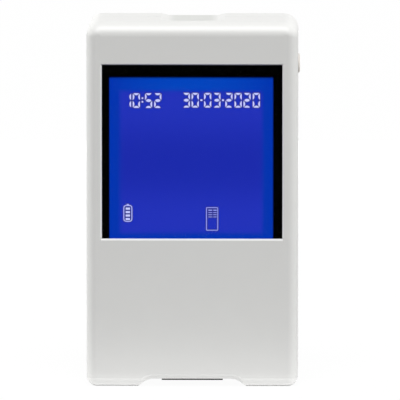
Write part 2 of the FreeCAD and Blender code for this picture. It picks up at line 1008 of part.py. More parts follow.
def cell_holder():
    """The tray that keeps the clock cell on the board, open at its upper side."""
    radius = cell_radius + holder_clearance
    width = 2 * (radius + holder_wall)
    tray = on_board((width, holder_height, width), cell_place)
    room = round_on_board(radius, (holder_wall, holder_height + past), cell_place)
    x = cell_place[0]
    z = board_top - cell_place[1]
    depth = (board_back + holder_wall, board_back + holder_height + past)
    gap = block((x - cell_radius / 2, x + cell_radius / 2), depth, (z, z + 2 * cell_radius))
    return tray.cut([room, gap])


def clock_cell():
    """The coin cell that keeps the clock going."""
    return round_on_board(cell_radius, (holder_wall, holder_wall + cell_thickness), cell_place)


def sounder():
    """The round sounder."""
    return round_on_board(sounder_radius, (0, sounder_height), sounder_place)


# Socket
def usb_shell():
    """The folded metal shell of the socket, open at its mouth."""
    outside = socket_form(0, (socket_bottom, socket_mouth))
    return outside.cut(socket_form(socket_wall, (socket_bottom + socket_wall, socket_mouth + past)))


def socket_form(inset, z_span):
    """The socket's outline, with its two cut corners, between two heights."""
    half = socket_width / 2
    low = board_back
    high = board_back + socket_thickness
    points = [
        (-half + inset, low + inset),
        (half - inset, low + inset),
        (half - inset, high - socket_taper),
        (half - socket_taper, high - inset),
        (-half + socket_taper, high - inset),
        (-half + inset, high - socket_taper),
    ]
    wire = Part.makePolygon([Vector(x, y, z_span[0]) for x, y in points + points[:1]])
    return Part.Face(wire).extrude(Vector(0, 0, z_span[1] - z_span[0]))


def usb_tongue():
    """The plastic tongue with the contacts, inside the shell."""
    bottom = socket_bottom + socket_wall
    half = tongue_width / 2
    base_half = socket_width / 2 - socket_wall - tongue_base_gap
    y = board_back + socket_thickness / 2
    depth = (y - tongue_thickness / 2, y + tongue_thickness / 2)
    base_depth = (board_back + socket_wall, board_back + socket_thickness - socket_wall)
    tongue = block((-half, half), depth, (bottom, socket_mouth - tongue_recess))
    base = block((-base_half, base_half), base_depth, (bottom, bottom + tongue_base_length))
    return tongue.fuse(base).removeSplitter()


# Buttons and switches
def right_switch():
    """The body of the side switch, with the bore of its stem."""
    place = (board_half_width - switch_size[0] / 2, board_top - button_height)
    body = on_board(switch_size, place)
    bore_end = board_half_width - stem_overlap - button_travel - stem_clearance
    return body.cut(pushed_bar((bore_end, board_half_width + past), stem_size, stem_clearance))


def pushed_bar(x_span, size, grow):
    """A square bar on the line that the button pushes along."""
    depth, height = size
    y_span = (stem_y - depth / 2 - grow, stem_y + depth / 2 + grow)
    z_span = (button_height - height / 2 - grow, button_height + height / 2 + grow)
    return block(x_span, y_span, z_span)


def right_switch_stem():
    """The stem that the button pushes into the switch."""
    return pushed_bar((board_half_width - stem_overlap, pusher_end()), stem_size, 0)


def pusher_end():
    """Where the button's pusher meets the stem."""
    return (board_half_width + flange_inner) / 2


def side_button(proud):
    """A button: a cap through the wall, a flange behind it and a pusher."""
    face = side + proud
    cap = button_form((flange_outer - bite, face), 0)
    rim = [edge for edge in cap.Edges if edge.BoundBox.XMin > face - touching]
    cap = cap.makeChamfer(button_bevel, rim)
    flange = pushed_bar((flange_inner, flange_outer), (button_length, button_width), flange_margin)
    pusher = pushed_bar((pusher_end(), flange_inner + bite), pusher_size, 0)
    return cap.fuse([flange, pusher]).removeSplitter()


# Chip guide
def ear_arm(y_span):
    """The cross arm whose two ends go over the reader's posts."""
    half = ear_half_span + ear_radius
    return block((-half, half), y_span, (reader_height - ear_radius, reader_height + ear_radius))


def reader_screw_holes(y_span):
    """Clearance holes for the two long screws."""
    radius = reader_screw_radius + reader_hole_clearance
    return [rod(radius, y_span, x, z) for x, z in reader_screw_places]


def guide_body(y_span):
    """The plain form of one half of the guide, with its part of the collar."""
    shoulder = arch_height + wall + collar_clearance
    body = block((-guide_half_width, guide_half_width), y_span, (shoulder, guide_top))
    collar = block((-collar_width / 2, collar_width / 2), y_span, (arch_height - collar_drop, shoulder))
    return body.fuse(collar)


def chip_slot():
    """The slot that the test chip slides up, wider at its mouth."""
    x_span = (-slot_width / 2, slot_width / 2)
    low = arch_height - collar_drop
    near = guide_middle - slot_thickness / 2
    far = guide_middle + slot_thickness / 2
    lead_points = [
        (near - slot_lead, low),
        (far + slot_lead, low),
        (far, low + slot_lead_length),
        (near, low + slot_lead_length),
    ]
    return block(x_span, (near, far), (low - past, slot_top)).fuse(side_outline(lead_points, x_span))


def sight_hole(y_span):
    """The opening that the reader looks through."""
    width, height = sight_size
    z = reader_height
    return block((-width / 2, width / 2), y_span, (z - height / 2, z + height / 2))


def chip_guide_front():
    """The front half of the chip guide."""
    body = guide_body((guide_front, guide_middle))
    return body.cut([chip_slot(), sight_hole((guide_front - past, guide_middle))]).removeSplitter()


def chip_guide_rear():
    """The rear half of the chip guide, screwed to the front shell."""
    body = guide_body((guide_middle, guide_back))
    body = body.fuse(ear_arm((guide_back - ear_thickness, guide_back)))
    through = (guide_middle, guide_back + past)
    holes = [chip_slot(), sight_hole(through)] + reader_screw_holes(through)
    return body.cut(holes).removeSplitter()


# Optical reader
def chip_lamp_board():
    """The small board whose lamps light the chip from the front."""
    return centred_block(lamp_board_size, (0, inner_front + lamp_board_size[1] / 2, reader_height))


def chip_lamps():
    """Two lamps on that board."""
    y = inner_front + lamp_board_size[1] + chip_lamp_size[1] / 2
    offset = sight_size[1] / 4
    lamps = [centred_block(chip_lamp_size, (0, y, reader_height + s * offset)) for s in (-1, 1)]
    return Part.makeCompound(lamps)


def optics_block():
    """The black block that keeps stray light off the sensor."""
    body = reader_form((block_front, block_back))
    through = (block_front - past, block_back + past)
    bore = rod(bore_radius, through, 0, reader_height)
    width, depth, height = sensor_size
    gap = 2 * sensor_clearance
    pocket = centred_block((width + gap, 2 * depth + gap, height + gap), (0, block_back, reader_height))
    return body.cut([bore, pocket] + reader_screw_holes(through)).removeSplitter()


def reader_form(y_span):
    """The outline that the block and the sensor board share."""
    z_span = (reader_height - block_height / 2, reader_height + block_height / 2)
    return block((-block_half_width, block_half_width), y_span, z_span).fuse(ear_arm(y_span))


def sensor_lens():
    """The glass lens in the block's bore, bulged towards the chip."""
    middle = (block_front + block_back) / 2 - reader_lens_forward
    near = middle - reader_lens_thickness / 2
    far = middle + reader_lens_thickness / 2
    ball_radius = (reader_lens_radius**2 + reader_lens_bulge**2) / (2 * reader_lens_bulge)
    ball_centre = Vector(0, near + ball_radius, reader_height)
    ball = Part.makeSphere(ball_radius, ball_centre, Vector(1, 0, 0))
    return rod(reader_lens_radius, (near, far), 0, reader_height).common(ball)


def sensor_board():
    """The board behind the block that carries the image sensor."""
    y_span = (sensor_board_front, sensor_board_back)
    return reader_form(y_span).cut(reader_screw_holes(y_span)).removeSplitter()


def image_sensor():
    """The image sensor, in the pocket at the end of the bore."""
    depth = sensor_size[1]
    return centred_block(sensor_size, (0, sensor_board_front - depth / 2, reader_height))


# Ribbon cable
def ribbon_path():
    """The points that the ribbon follows, in the YZ plane."""
    turn = reader_height + block_height / 2 + 2 * ribbon_bend
    return [
        (lower_ribbon_y, lower_ribbon_z),
        (lower_ribbon_y, turn),
        (upper_ribbon_y, turn + ribbon_rise),
        (upper_ribbon_y, upper_ribbon_z),
    ]


def ribbon_line():
    """Straight runs joined by arcs that touch them."""
    points = [Vector(0, y, z) for y, z in ribbon_path()]
    edges = []
    previous = points[0]
    for before, corner, after in zip(points, points[1:], points[2:]):
        into = (corner - before).normalize()
        away = (after - corner).normalize()
        turn = into.getAngle(away)
        trim = ribbon_bend * math.tan(turn / 2)
        arc_start = corner - into * trim
        arc_end = corner + away * trim
        inward = (away - into).normalize()
        middle = corner + inward * (ribbon_bend / math.cos(turn / 2) - ribbon_bend)
        edges.append(Part.LineSegment(previous, arc_start).toShape())
        edges.append(Part.Arc(arc_start, middle, arc_end).toShape())
        previous = arc_end
    edges.append(Part.LineSegment(previous, points[-1]).toShape())
    return Part.Wire(edges)


def ribbon_cable():
    """The flat cable from the reader to the main board."""
    half = ribbon_width / 2
    near = lower_ribbon_y - ribbon_thickness / 2
    far = lower_ribbon_y + ribbon_thickness / 2
    corners = [(-half, near), (half, near), (half, far), (-half, far)]
    points = [Vector(x, y, lower_ribbon_z) for x, y in corners + corners[:1]]
    return ribbon_line().makePipeShell([Part.makePolygon(points)], True, False)


def ribbon_sockets():
    """The two sockets that the ribbon is pushed into."""
    height = ribbon_socket_size[2]
    lower = centred_block(ribbon_socket_size, (0, lower_ribbon_y, lower_ribbon_z))
    upper = centred_block(ribbon_socket_size, (0, upper_ribbon_y, upper_ribbon_z + height / 4))
    lower_slot = ribbon_slot(lower_ribbon_y, (lower_ribbon_z, lower_ribbon_z + height))
    upper_slot = ribbon_slot(upper_ribbon_y, (upper_ribbon_z - height, upper_ribbon_z))
    return Part.makeCompound([lower.cut(lower_slot), upper.cut(upper_slot)])


def ribbon_slot(y, z_span):
    """The slot in a socket that the end of the ribbon goes into."""
    half_width = ribbon_width / 2 + ribbon_slot_gap
    half_depth = ribbon_thickness / 2 + ribbon_slot_gap
    return block((-half_width, half_width), (y - half_depth, y + half_depth), z_span)


# Battery and cover
def battery_pack():
    """The rechargeable pack, a flat block with rounded edges."""
    half = battery_width / 2
    low = bay_bottom + battery_clearance
    pack = block((-half, half), (battery_front, battery_back), (low, low + battery_height))
    long_edges = [edge for edge in pack.Edges if edge.BoundBox.ZLength > battery_height / 2]
    return pack.makeFillet(battery_corner, long_edges)


def contact_block():
    """The tower on the main board that carries the battery contacts."""
    width, height = contact_block_size
    depth = (board_back, battery_middle + contact_block_beyond)
    return block((-width / 2, width / 2), depth, (contact_foot_top, contact_foot_top + height))


def battery_contacts():
    """Three bent strips that press on the end of the battery."""
    y = battery_middle
    top = contact_foot_top
    tip = bay_top - battery_clearance
    t = contact_thickness
    points = [
        (y + contact_foot, top),
        (y + contact_foot, top - t),
        (y - contact_tip + contact_tip_flat, tip + t),
        (y - contact_tip + contact_tip_flat, tip),
        (y - contact_tip, tip),
        (y - contact_tip, tip + t),
        (y - contact_tip + t, tip + 2 * t),
        (y + contact_foot - contact_tip_flat, top - t),
        (y + contact_foot - contact_tip_flat, top),
    ]
    strips = []
    for index in range(contact_count):
        x = contact_pitch * (index - (contact_count - 1) / 2)
        strips.append(side_outline(points, (x - contact_width / 2, x + contact_width / 2)))
    return Part.makeCompound(strips)


def latch_slits():
    """The two slits that free the latch finger at its sides."""
    x_span = (latch_width / 2 - latch_slit / 2, latch_width / 2 + latch_slit / 2)
    height = (cover_top - latch_length, cover_top + past)
    slit = block(x_span, (cover_inner - past, back + past), height)
    return [slit, mirrored(slit)]


def latch_grip():
    """Shallow grooves across the latch finger."""
    half = latch_width / 2 - latch_groove_margin
    depth = (back - latch_groove_depth, back + past)
    grooves = []
    for index in range(latch_grooves):
        z = cover_top - latch_groove_start - latch_groove_pitch * index
        height = (z - latch_groove_width / 2, z + latch_groove_width / 2)
        grooves.append(block((-half, half), depth, height))
    return grooves


def cover_tabs():
    """The two tabs that hook under the rear shell."""
    outer = seat_face - tab_clearance
    inner = outer - tab_thickness
    x_span = (tab_centre - tab_width / 2, tab_centre + tab_width / 2)
    root = block(x_span, (inner, cover_inner + bite), (cover_bottom, cover_bottom + tab_reach))
    toe = block(x_span, (inner, outer), (cover_bottom - tab_reach, cover_bottom + bite))
    tab = root.fuse(toe)
    return [tab, mirrored(tab)]


def battery_cover():
    """The cover of the battery bay, flush with the back."""
    x_span = (-cover_width / 2, cover_width / 2)
    height = (cover_bottom, cover_top)
    plate = rounded_plate(x_span, height, (cover_inner, back), cover_corner, cover_corner)
    plate = plate.fuse(cover_tabs())
    return plate.cut(latch_slits() + latch_grip()).removeSplitter()


# Screws
def screw(place, seat, length, radius, head):
    """A screw along Y, its head towards the back."""
    x, z = place
    head_radius, head_height = head
    shank = rod(radius, (seat - length, seat), x, z)
    return shank.fuse(rod(head_radius, (seat, seat + head_height), x, z)).removeSplitter()


def cross_slot(place, seat, head):
    """The cross in a screw's head."""
    x, z = place
    head_radius, head_height = head
    reach = head_radius * cross_reach_share
    arm = head_radius * cross_arm_share
    depth = (seat + head_height * cross_floor_share, seat + head_height + past)
    level = block((x - reach, x + reach), depth, (z - arm, z + arm))
    return level.fuse(block((x - arm, x + arm), depth, (z - reach, z + reach)))


def case_screws():
    """The two screws that hold the bottoms of the shells together."""
    seat = parting + case_screw_seat
    head = case_screw_head
    screws = [
        screw(place, seat, case_screw_length, case_pilot_radius, head).cut(cross_slot(place, seat, head))
        for place in case_screw_places
    ]
    return Part.makeCompound(screws)


def board_screws():
    """The two screws that hold the top of the main board."""
    screws = [
        screw(place, board_back, board_screw_length, board_screw_radius, small_screw_head)
        for place in board_screw_places
    ]
    return Part.makeCompound(screws)


def reader_screws():
    """The two long screws through the sensor board, the block and the guide."""
    length = sensor_board_back - inner_front - 2 * reader_screw_floor
    screws = [
        screw(place, sensor_board_back, length, reader_screw_radius, small_screw_head)
        for place in reader_screw_places
    ]
    return Part.makeCompound(screws)


pieces = {
    "front_shell": front_shell(),
    "rear_shell": rear_shell(),
    "display_window": display_window(),
    "window_mask": window_mask(),
    "display_bezel": display_bezel(),
    "display_front_glass": display_front_glass(),
    "display_rear_glass": display_rear_glass(),
    "diffuser_sheet": diffuser_sheet(),
    "light_guide": light_guide(),
    "display_lamps": display_lamps(),
    "contact_strip": contact_strip(),
    "main_board": main_board(),
    "processor_chip": processor_chip(),
    "memory_chips": memory_chips(),
    "power_chip": power_chip(),
    "clock_crystal": clock_crystal(),
    "cell_holder": cell_holder(),
    "clock_cell": clock_cell(),
    "sounder": sounder(),
    "usb_shell": usb_shell(),
    "usb_tongue": usb_tongue(),
    "right_switch": right_switch(),
    "left_switch": mirrored(right_switch()),
    "right_switch_stem": right_switch_stem(),
    "left_switch_stem": mirrored(right_switch_stem()),
    "right_button": side_button(right_button_proud),
    "left_button": mirrored(side_button(left_button_proud)),
    "chip_guide_front": chip_guide_front(),
    "chip_guide_rear": chip_guide_rear(),
    "chip_lamp_board": chip_lamp_board(),
    "chip_lamps": chip_lamps(),
    "optics_block": optics_block(),
    "sensor_lens": sensor_lens(),
    "sensor_board": sensor_board(),
    "image_sensor": image_sensor(),
    "ribbon_cable": ribbon_cable(),
    "ribbon_sockets": ribbon_sockets(),
    "battery_pack": battery_pack(),
    "contact_block": contact_block(),
    "battery_contacts": battery_contacts(),
    "battery_cover": battery_cover(),
    "case_screws": case_screws(),
    "board_screws": board_screws(),
    "reader_screws": reader_screws(),
}

os.makedirs("parts", exist_ok=True)
for name, shape in pieces.items():
    shape.exportStep(os.path.join("parts", name + ".step"))
    print(name, len(shape.Solids), "solids, valid", shape.isValid(), "volume", round(shape.Volume, 1))
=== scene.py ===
import math

import bmesh
import bpy
from mathutils import Matrix, Vector


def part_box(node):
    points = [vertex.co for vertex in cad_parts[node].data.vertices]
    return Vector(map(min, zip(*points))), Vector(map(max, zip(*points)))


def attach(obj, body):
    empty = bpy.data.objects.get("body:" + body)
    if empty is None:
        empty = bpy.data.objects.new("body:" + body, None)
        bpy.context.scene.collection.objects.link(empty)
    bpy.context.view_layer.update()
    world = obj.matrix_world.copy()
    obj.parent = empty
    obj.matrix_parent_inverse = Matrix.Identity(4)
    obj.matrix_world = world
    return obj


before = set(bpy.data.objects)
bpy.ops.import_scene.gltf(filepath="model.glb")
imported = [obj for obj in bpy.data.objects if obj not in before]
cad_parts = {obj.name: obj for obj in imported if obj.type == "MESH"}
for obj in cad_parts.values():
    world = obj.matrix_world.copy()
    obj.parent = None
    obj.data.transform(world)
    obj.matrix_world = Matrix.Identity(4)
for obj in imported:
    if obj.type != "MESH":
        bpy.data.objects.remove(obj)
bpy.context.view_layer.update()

# The camera has a long lens and stands far off, six degrees above the case and a touch to its right, so
# the upright edges stay almost parallel. It looks at a point a little to the right of the case's middle.
mm = 0.001
frame_width = 122.9 * mm
lens_length = 900.0
camera_rise = math.radians(6.0)
camera_turn = math.radians(0.8)
looked_at = Vector((2.45, -17.5, 57.85)) * mm

camera_data = bpy.data.cameras.new("camera")
camera_data.sensor_width = 36.0
camera_data.lens = lens_length
camera_data.clip_start = 0.05
camera_data.clip_end = 20.0
camera = bpy.data.objects.new("camera", camera_data)
bpy.context.scene.collection.objects.link(camera)
towards_camera = Vector((
    math.sin(camera_turn) * math.cos(camera_rise),
    -math.cos(camera_turn) * math.cos(camera_rise),
    math.sin(camera_rise),
))
camera.location = looked_at + towards_camera * (frame_width * lens_length / camera_data.sensor_width)
camera.rotation_euler = towards_camera.to_track_quat("Z", "Y").to_euler()
bpy.context.scene.camera = camera
bpy.context.scene.view_settings.view_transform = "Standard"


# The studio is a white table under one soft box, which stands in front and above. Cards at the sides and
# behind, and strips on the table round the case's foot, give it a softer light. The table looks white and
# keeps a faint shadow of the case.
class Wire:
    """The end of a wire in a material, on which a sum or a product adds its Math node."""

    def __init__(self, tree, end=None):
        self.tree = tree
        self.end = end

    def node(self, kind, settings, values, output=0):
        """Adds a node: its settings first, then the values and wires of its sockets."""
        new = self.tree.nodes.new(kind)
        for name, setting in settings.items():
            setattr(new, name, setting)
        for name, value in values.items():
            if isinstance(value, Wire):
                self.tree.links.new(value.end, new.inputs[name])
            else:
                new.inputs[name].default_value = value
        return Wire(self.tree, new.outputs[output] if len(new.outputs) else None)

    def maths(self, operation, *values):
        """Adds a Math node that does one operation."""
        return self.node("ShaderNodeMath", {"operation": operation}, dict(enumerate(values)))

    def __add__(self, other):
        return self.maths("ADD", self, other)

    def __sub__(self, other):
        return self.maths("SUBTRACT", self, other)

    def __mul__(self, other):
        return self.maths("MULTIPLY", self, other)

    def __radd__(self, other):
        return self.maths("ADD", other, self)

    def __rsub__(self, other):
        return self.maths("SUBTRACT", other, self)

    def __rmul__(self, other):
        return self.maths("MULTIPLY", other, self)


def grey(level):
    """A neutral colour of one level."""
    return (level, level, level, 1.0)


def between(wire, mask, low, high):
    """A colour that goes from low to high as the mask goes from 0 to 1."""
    return wire.node("ShaderNodeMix", {"data_type": "RGBA"}, {0: mask, 6: low, 7: high}, 2)


def seen_directly(wire):
    """One for a ray that comes from the camera, from a reflection or through glass, and else zero."""
    rays = ["Is Camera Ray", "Is Glossy Ray", "Is Transmission Ray"]
    camera_ray, glossy_ray, glass_ray = [wire.node("ShaderNodeLightPath", {}, {}, ray) for ray in rays]
    return wire.maths("MAXIMUM", wire.maths("MAXIMUM", camera_ray, glossy_ray), glass_ray)


table_size = 6000 * mm
table_white = 0.92
table_bounce = 0.2
shadow_share = 0.04
sky_light = 0.15

table_mesh = bmesh.new()
bmesh.ops.create_grid(table_mesh, x_segments=1, y_segments=1, size=table_size / 2)
table_data = bpy.data.meshes.new("table")
table_mesh.to_mesh(table_data)
table_mesh.free()
table = bpy.data.objects.new("table", table_data)
bpy.context.scene.collection.objects.link(table)

table_paint = bpy.data.materials.new("table_paint")
table_paint.use_nodes = True
table_paint.node_tree.nodes.clear()
paint = Wire(table_paint.node_tree)
table_colour = between(paint, seen_directly(paint), grey(table_bounce), grey(table_white))
lit_table = paint.node("ShaderNodeBsdfDiffuse", {}, {"Color": table_colour})
bright_table = paint.node("ShaderNodeEmission", {}, {"Color": grey(1.0), "Strength": 1.0})
bright_share = seen_directly(paint) * (1 - shadow_share)
seen_table = paint.node("ShaderNodeMixShader", {}, {0: bright_share, 1: lit_table, 2: bright_table})
paint.node("ShaderNodeOutputMaterial", {}, {"Surface": seen_table})
table_data.materials.append(table_paint)

world = bpy.data.worlds.new("studio")
world.use_nodes = True
world.node_tree.nodes.clear()
sky = Wire(world.node_tree)
soft_sky = sky.node("ShaderNodeBackground", {}, {"Color": grey(1.0), "Strength": sky_light})
white_sky = sky.node("ShaderNodeBackground", {}, {"Color": grey(1.0), "Strength": 1.0})
seen_sky = sky.node("ShaderNodeMixShader", {}, {0: seen_directly(sky), 1: soft_sky, 2: white_sky})
sky.node("ShaderNodeOutputWorld", {}, {"Surface": seen_sky})
bpy.context.scene.world = world


def soft_lamp(name, width, height, watts, stands, faces):
    """A rectangular soft lamp that stands at one point and faces another, and isn't seen itself."""
    lamp_data = bpy.data.lights.new(name, "AREA")
    lamp_data.shape = "RECTANGLE"
    lamp_data.size = width
    lamp_data.size_y = height
    lamp_data.energy = watts
    lamp = bpy.data.objects.new(name, lamp_data)
    bpy.context.scene.collection.objects.link(lamp)
    lamp.location = stands
    lamp.rotation_euler = (Vector(stands) - Vector(faces)).to_track_quat("Z", "Y").to_euler()
    lamp.visible_camera = False
    lamp.visible_glossy = False


case_middle = Vector((0, 0, 56)) * mm
left_card_place = Vector((-720, 200, 110)) * mm
right_card_place = Vector((750, 20, 110)) * mm
back_card_place = Vector((0, 750, 50)) * mm
soft_lamp("left_card", 400 * mm, 220 * mm, 3.6, left_card_place, case_middle)
soft_lamp("right_card", 500 * mm, 220 * mm, 2.8, right_card_place, case_middle)
soft_lamp("back_card", 400 * mm, 100 * mm, 1.8, back_card_place, case_middle)

soft_box_strength = 3.05
soft_box_spread = math.radians(35)
soft_box_tilt = math.radians(30)
soft_box_data = bpy.data.lights.new("soft_box", "SUN")
soft_box_data.energy = soft_box_strength
soft_box_data.angle = soft_box_spread
soft_box = bpy.data.objects.new("soft_box", soft_box_data)
bpy.context.scene.collection.objects.link(soft_box)
soft_box.rotation_euler = (soft_box_tilt, 0, 0)

foot_half_width = 32.5 * mm
foot_half_depth = 17.5 * mm
strip_under = 1.5 * mm
strip_height = 0.05 * mm
above_strip = 1000 * mm
wide_reach = 15.0 * mm
narrow_reach = 2.5 * mm
wide_brightness = 0.46
narrow_brightness = 0.15
end_brightness = 0.12
watts_per_area = 4

for kind, reach, brightness in (
    ("wide", wide_reach, wide_brightness),
    ("narrow", narrow_reach, narrow_brightness),
):
    long_side = 2 * (foot_half_width + reach)
    short_side = reach + strip_under
    watts = brightness * watts_per_area * long_side * short_side
    for place, side in (("front", -1), ("back", 1)):
        back = side * (foot_half_depth + (reach - strip_under) / 2)
        stands, faces = (0, back, strip_height), (0, back, above_strip)
        soft_lamp(f"{kind}_{place}_strip", long_side, short_side, watts, stands, faces)

end_long_side = 2 * (foot_half_depth - strip_under)
end_short_side = wide_reach + strip_under
end_watts = end_brightness * watts_per_area * end_long_side * end_short_side
for place, side in (("left", -1), ("right", 1)):
    across = side * (foot_half_width + (wide_reach - strip_under) / 2)
    stands, faces = (across, 0, strip_height), (across, 0, above_strip)
    soft_lamp(f"{place}_end_strip", end_short_side, end_long_side, end_watts, stands, faces)

# The case is two moulded shells of satin white plastic, held together by two hooks and two screws. The
# recess in the top is duller, and painted shade darkens its colour. The edges of the window, the arch and
# the foot are painted whiter as painted highlights. These places are measured in millimetres, across, back
# and up from the middle of the foot.
window_half_width = 27.75
window_low, window_high = 45.7, 99.5
chamfer_width = 0.45
chamfer_blur = 0.2
chamfer_back = -16.5
recess_half_width = 6.6
recess_blur = 3.2
recess_front, recess_back = -9.8, 17.0
recess_end_blur = 2.0
recess_low, recess_high = 111.7, 112.6
recess_lip_blur = 0.1
arch_half_width = 15.4
arch_low, arch_high = 2.1, 4.2
arch_blur = 0.6
front_face = -17.46
front_blur = 0.04
foot_edge = 2.9
foot_blur = 0.5
foot_back = -14.0
foot_fade = 2.0
cloud_size = 9 * mm
satin_grain = 0.22 * mm
satin_depth = 0.004 * mm


def shade(written):
    """The linear colour of a colour written as six hexadecimal digits."""
    parts = [int(written[place:place + 2], 16) / 255 for place in (0, 2, 4)]
    linear = [part / 12.92 if part <= 0.04045 else ((part + 0.055) / 1.055) ** 2.4 for part in parts]
    return (*linear, 1.0)


def dress(finish, *names):
    """Gives a finish to pieces that come from the frame."""
    for name in names:
        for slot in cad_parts[name].material_slots:
            slot.material = finish


def new_finish(name):
    """A new, empty material and the wire that its nodes are added with."""
    material = bpy.data.materials.new(name)
    material.use_nodes = True
    material.node_tree.nodes.clear()
    return material, Wire(material.node_tree)


def on_piece(wire):
    """The place on the piece, in metres."""
    return wire.node("ShaderNodeTexCoord", {}, {}, "Object")


def measured(wire):
    """How far across, back and up the place on the piece is, in millimetres."""
    values = {0: on_piece(wire), "Scale": 1 / mm}
    place = wire.node("ShaderNodeVectorMath", {"operation": "SCALE"}, values)
    return [wire.node("ShaderNodeSeparateXYZ", {}, {0: place}, axis) for axis in "XYZ"]


def step_up(value, start, end):
    """Goes smoothly from 0 to 1 as the value goes from start to end."""
    ends = {"Value": value, "From Min": start, "From Max": end}
    return value.node("ShaderNodeMapRange", {"interpolation_type": "SMOOTHSTEP"}, ends)


def inside(value, low, high, blur):
    """One where the value lies between low and high, with edges blurred over this width."""
    enters = step_up(value, low - blur / 2, low + blur / 2)
    leaves = step_up(value, high - blur / 2, high + blur / 2)
    return enters * (1 - leaves)


def speckle(wire, grain, detail=2.0):
    """A cloudy pattern from 0 to 1, whose spots are about as wide as the grain."""
    values = {"Vector": on_piece(wire), "Scale": 1 / grain, "Detail": detail}
    return wire.node("ShaderNodeTexNoise", {}, values)


def relief(wire, height, depth):
    """The bumps of a surface whose height goes from 0 to 1 over this depth."""
    return wire.node("ShaderNodeBump", {}, {"Height": height, "Distance": depth}, "Normal")


def surface(wire, values):
    """The shader at the end of a material's nodes."""
    shader = wire.node("ShaderNodeBsdfPrincipled", {}, values)
    wire.node("ShaderNodeOutputMaterial", {}, {"Surface": shader})


def moulded_plastic(name, light, dark, roughness, grain, depth, gloss=0.5):
    """Plastic with a mould's grain, and a faint cloudiness in its colour and its sheen."""
    material, wire = new_finish(name)
    cloud = speckle(wire, cloud_size)
    surface(wire, {
        "Base Color": between(wire, cloud, shade(dark), shade(light)),
        "Roughness": roughness - 0.04 + 0.08 * cloud,
        "Specular IOR Level": gloss,
        "Normal": relief(wire, speckle(wire, grain), depth),
    })
    return material


case_plastic, wire = new_finish("case_plastic")
cloud = speckle(wire, cloud_size)
across, back, up = measured(wire)
# These three masks mark painted highlights: round the window, at the arch and at the foot the white is
# painted lighter.
at_window = (
    inside(across, -window_half_width - chamfer_width, window_half_width + chamfer_width, chamfer_blur)
    * inside(up, window_low + chamfer_width, window_high + chamfer_width, chamfer_blur)
    * (1 - step_up(back, chamfer_back - chamfer_blur, chamfer_back))
)
at_arch = (
    inside(across, -arch_half_width, arch_half_width, arch_blur)
    * inside(up, arch_low, arch_high, arch_blur)
    * step_up(back, front_face - front_blur, front_face)
)
at_foot = (
    (1 - step_up(up, foot_edge - foot_blur, foot_edge))
    * (1 - step_up(back, foot_back - foot_fade, foot_back))
)
# In the recess the colour is painted darker as painted shade, and its higher roughness is its duller
# finish.
recess_shade_and_dullness = (
    inside(across, -recess_half_width, recess_half_width, recess_blur)
    * inside(back, recess_front, recess_back, recess_end_blur)
    * inside(up, recess_low, recess_high, recess_lip_blur)
)
# Painted highlight: wherever any of the three masks is set, the case's white is painted lighter.
painted_highlight = wire.maths("MAXIMUM", wire.maths("MAXIMUM", at_window, at_arch), at_foot)
smooth_white = between(wire, cloud, shade("e2e2e0"), shade("e5e5e3"))
white_with_painted_highlight = between(wire, painted_highlight, smooth_white, shade("f7f7f5"))
surface(wire, {
    "Base Color": between(wire, recess_shade_and_dullness, white_with_painted_highlight, shade("d8d9d6")),
    "Roughness": 0.38 + 0.08 * cloud + 0.2 * recess_shade_and_dullness,
    "Normal": relief(wire, speckle(wire, satin_grain), satin_depth),
})
dress(case_plastic, "front_shell", "rear_shell", "battery_cover")

# The window is a clear hard-coated acrylic plate, cemented behind the opening in the front shell. Black
# ink printed on its back frames the display at the top and the sides, and hides what lies beside it.
wipe_size = 14 * mm
window_plastic, wire = new_finish("window_plastic")
wiped = speckle(wire, wipe_size)
surface(wire, {
    "Base Color": between(wire, wiped, shade("050505"), shade("080808")),
    "Roughness": 0.04 + 0.05 * wiped,
    "Alpha": 0.06,
    "Specular IOR Level": 0.2,
})
dress(window_plastic, "display_window")

mask_ink = moulded_plastic("mask_ink", "040404", "020202", 0.55, 0.12 * mm, 0.001 * mm, 0.0)
dress(mask_ink, "window_mask")

# The display is two glass plates with the liquid between them, in a black bezel. A light guide with four
# lamps at its upper edge lights it from behind. It glows blue, with a paler band round its rim.
display_left, display_right = -25.6, 24.95
display_top = 95.15
ink_edge_and_shadow_width = 1.0
active_left, active_right = -22.2, 21.6
active_bottom, active_top = 47.2, 91.1
active_blur = 2.0
below_window = 40.0
glow_start, glow_end = active_top - 2.0, active_top + 1.0
middle_end, rim_start = 0.1, 0.8
display_strength = 1.13

display_glass, wire = new_finish("display_glass")
across, back, up = measured(wire)
in_active = (
    inside(across, active_left, active_right, active_blur)
    * inside(up, active_bottom, active_top, active_blur)
)
# The glow fades over about a millimetre at the sides and top: partly the soft edge of the printed ink,
# partly painted shadow of the ink and the opening's edge.
in_opening = (
    inside(across, display_left, display_right, ink_edge_and_shadow_width)
    * inside(up, below_window, display_top, ink_edge_and_shadow_width)
)
off_middle = across * (1 / display_right)
top_glow = step_up(up, glow_start, glow_end) * (1 - off_middle * off_middle)
active_middle = (active_bottom + active_top) / 2
off_centre = wire.maths("ABSOLUTE", up - active_middle) * (1 / (active_top - active_middle))
rim_blue = between(wire, top_glow, shade("0033af"), shade("0043bd"))
active_blue = between(wire, step_up(off_centre, middle_end, rim_start), shade("1829ac"), shade("2031b9"))
display_blue = between(wire, in_active, rim_blue, active_blue)
surface(wire, {
    "Base Color": shade("04040a"),
    "Roughness": 0.25 + 0.1 * speckle(wire, 1.5 * mm),
    "Specular IOR Level": 0.0,
    "Emission Color": between(wire, in_opening, shade("000002"), display_blue),
    "Emission Strength": display_strength,
})
dress(display_glass, "display_front_glass", "display_rear_glass")

frame_plastic = moulded_plastic("frame_plastic", "1c1c1d", "151516", 0.5, 0.15 * mm, 0.003 * mm)
dress(frame_plastic, "display_bezel", "optics_block", "usb_tongue")

diffuser_film = moulded_plastic("diffuser_film", "f4f6fa", "eceff5", 0.6, 0.05 * mm, 0.002 * mm)
dress(diffuser_film, "diffuser_sheet")

